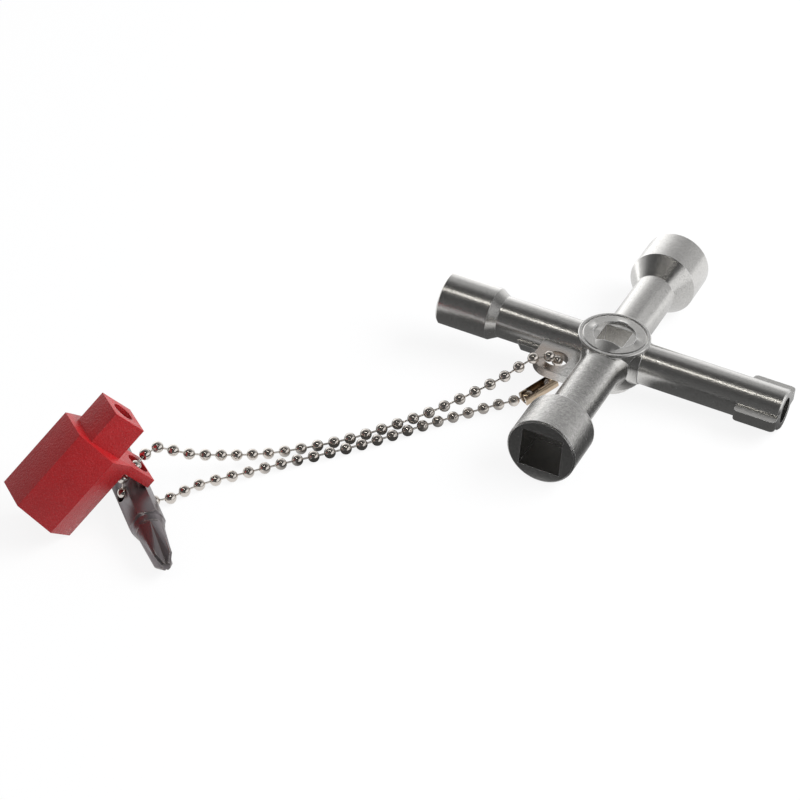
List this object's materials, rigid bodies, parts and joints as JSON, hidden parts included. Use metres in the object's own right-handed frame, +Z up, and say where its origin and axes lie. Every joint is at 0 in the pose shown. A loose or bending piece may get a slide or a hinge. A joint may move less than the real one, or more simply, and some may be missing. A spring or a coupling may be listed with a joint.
{
  "type": "multi utility key",
  "caption": "Cross-shaped cast utility key with a different lock driver on each arm, a red bit adapter and a reversible bit on a ball chain.",
  "frame": {"origin": "middle of the key's hub, where the axes of its four arms cross", "axes": "+Y along the back arm, out of its triangle socket; +X level, under it the right arm leans 4.45 degrees down; +Z up; the table is at z = -7.3 mm"},
  "size_m": [0.1265, 0.1382, 0.0261],
  "materials": {
    "nickel_cast": "nickel-plated zinc casting, satin with a fine mottle",
    "red_plastic": "moulded, matte",
    "tool_steel": "darkened tool steel, satin",
    "bead_plate": "nickel-plated, polished",
    "link_plate": "nickel-plated wire",
    "coupling_plate": "nickel-plated sheet, slightly warm"
  },
  "bodies": {
    "root": {"key_body": "nickel_cast", "bit_adapter": "red_plastic", "reversible_bit": "tool_steel", "chain_coupling": "coupling_plate", "chain_beads_01": "bead_plate", "chain_beads_02": "bead_plate", "chain_beads_03": "bead_plate", "chain_beads_04": "bead_plate", "chain_beads_05": "bead_plate", "chain_beads_06": "bead_plate", "chain_beads_07": "bead_plate", "chain_beads_08": "bead_plate", "chain_beads_09": "bead_plate", "chain_beads_10": "bead_plate", "chain_beads_11": "bead_plate", "chain_beads_12": "bead_plate", "chain_beads_13": "bead_plate", "chain_beads_14": "bead_plate", "chain_beads_15": "bead_plate", "chain_beads_16": "bead_plate", "chain_beads_17": "bead_plate", "chain_beads_18": "bead_plate", "chain_beads_19": "bead_plate", "chain_beads_20": "bead_plate", "chain_links_01": "link_plate", "chain_links_02": "link_plate", "chain_links_03": "link_plate", "chain_links_04": "link_plate", "chain_links_05": "link_plate", "chain_links_06": "link_plate", "chain_links_07": "link_plate", "chain_links_08": "link_plate", "chain_links_09": "link_plate", "chain_links_10": "link_plate", "chain_links_11": "link_plate", "chain_links_12": "link_plate", "chain_links_13": "link_plate", "chain_links_14": "link_plate", "chain_links_15": "link_plate", "chain_links_16": "link_plate", "chain_links_17": "link_plate", "chain_links_18": "link_plate", "chain_links_19": "link_plate", "chain_links_20": "link_plate"}
  },
  "joints": []
}
